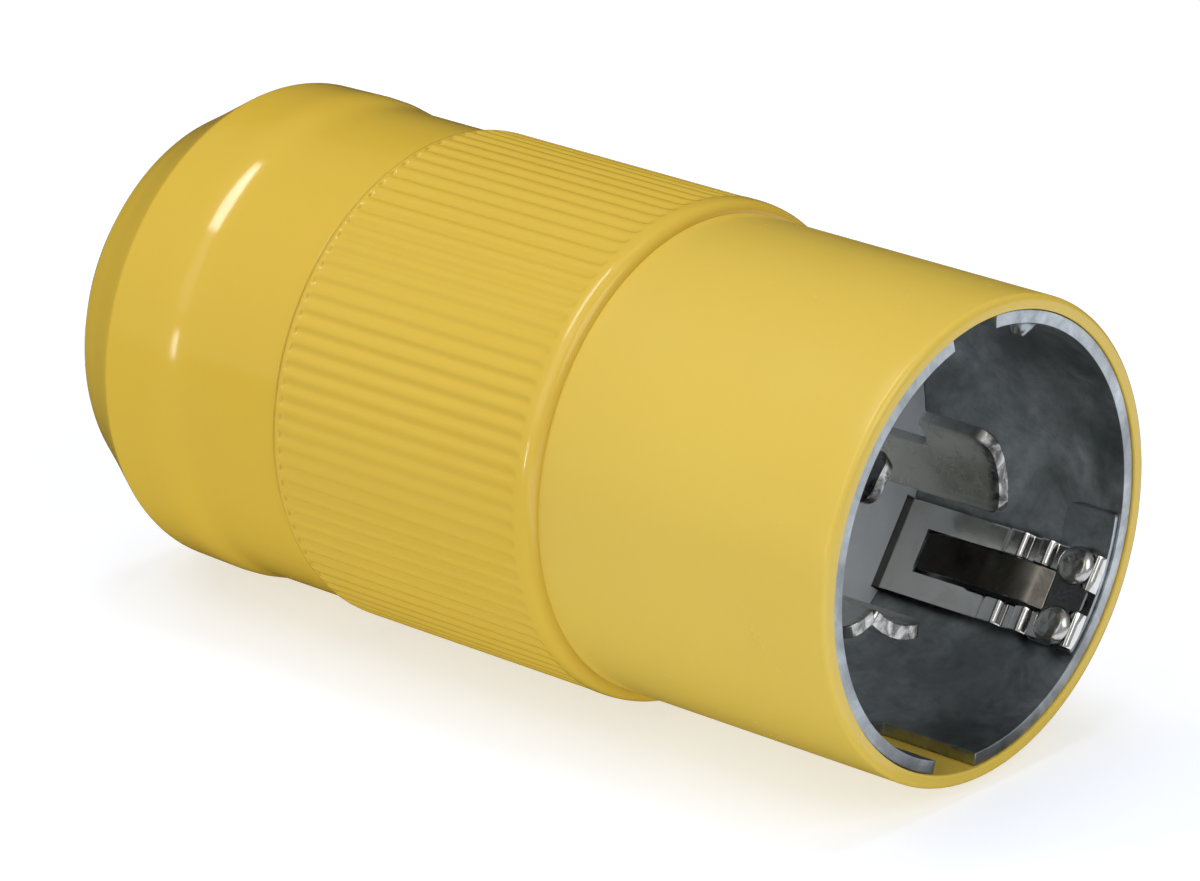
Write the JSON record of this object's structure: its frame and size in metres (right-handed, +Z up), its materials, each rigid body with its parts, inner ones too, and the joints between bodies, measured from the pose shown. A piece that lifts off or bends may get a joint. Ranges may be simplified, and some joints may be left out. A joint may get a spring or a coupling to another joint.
{
  "type": "shore power plug",
  "caption": "Yellow weatherproof shore power plug: smooth mating sleeve lined with a steel shell, curved locking blades, ribbed grip and a screw-on rear cap.",
  "frame": {"origin": "centre of the mating mouth, in the plane of the front rim", "axes": "+X out of the mouth along the plug's axis, +Z up with the plug lying on its side, +Y to its left seen from behind"},
  "size_m": [0.1345, 0.0662, 0.0662],
  "materials": {
    "yellow_nylon": "moulded, satin gloss",
    "grey_moulding": "moulded, fine matte",
    "dark_moulding": "moulded, matte",
    "zinc_steel": "zinc plated, slightly mottled",
    "bright_plate": "bright nickel plate",
    "spring_leaf": "dark nickel plate",
    "brass": "machined",
    "green_screw": "dyed plating",
    "black_rubber": "moulded, matte"
  },
  "bodies": {
    "plug_body": {"front_sleeve": "yellow_nylon", "grip_ring": "yellow_nylon", "ground_shell": "zinc_steel", "core_front": "grey_moulding", "core_gasket": "black_rubber", "core_rear": "grey_moulding", "blade_x": "bright_plate", "blade_y": "bright_plate", "blade_neutral": "bright_plate", "terminal_x": "brass", "terminal_y": "brass", "terminal_neutral": "bright_plate", "terminal_ground": "brass", "clamp_screws": "brass", "ground_screw": "green_screw", "core_screws": "zinc_steel", "ground_strap": "bright_plate", "contact_leaf_root": "spring_leaf", "ground_foot_plate": "zinc_steel", "foot_rivets": "bright_plate", "gland_seat": "dark_moulding", "cable_grommet": "black_rubber"},
    "leaf_spring": {"contact_leaf": "spring_leaf"},
    "washer_slide": {"slip_washer": "dark_moulding"},
    "screw_cap": {"rear_cap": "yellow_nylon", "cap_o_ring": "black_rubber"}
  },
  "joints": [
    {"name": "cap_travel", "type": "slide", "parent": "plug_body", "child": "washer_slide", "axis": [-1, 0, 0], "range_m": [0, 0.009]},
    {"name": "cap_turn", "type": "hinge", "parent": "washer_slide", "child": "screw_cap", "pos_m": [-0.117, 0, 0], "axis": [-1, 0, 0], "range_deg": [0, 1080]},
    {"name": "leaf_flex", "type": "hinge", "parent": "plug_body", "child": "leaf_spring", "pos_m": [-0.0063, 0.02089, -0.01436], "axis": [0, -0.5664, -0.8241], "range_deg": [0, 6], "stiffness_Nm_per_rad": 0.2}
  ],
  "couplings": [
    {"joint": "cap_travel", "follows": "cap_turn", "m_per_rad": 0.00047746}
  ]
}
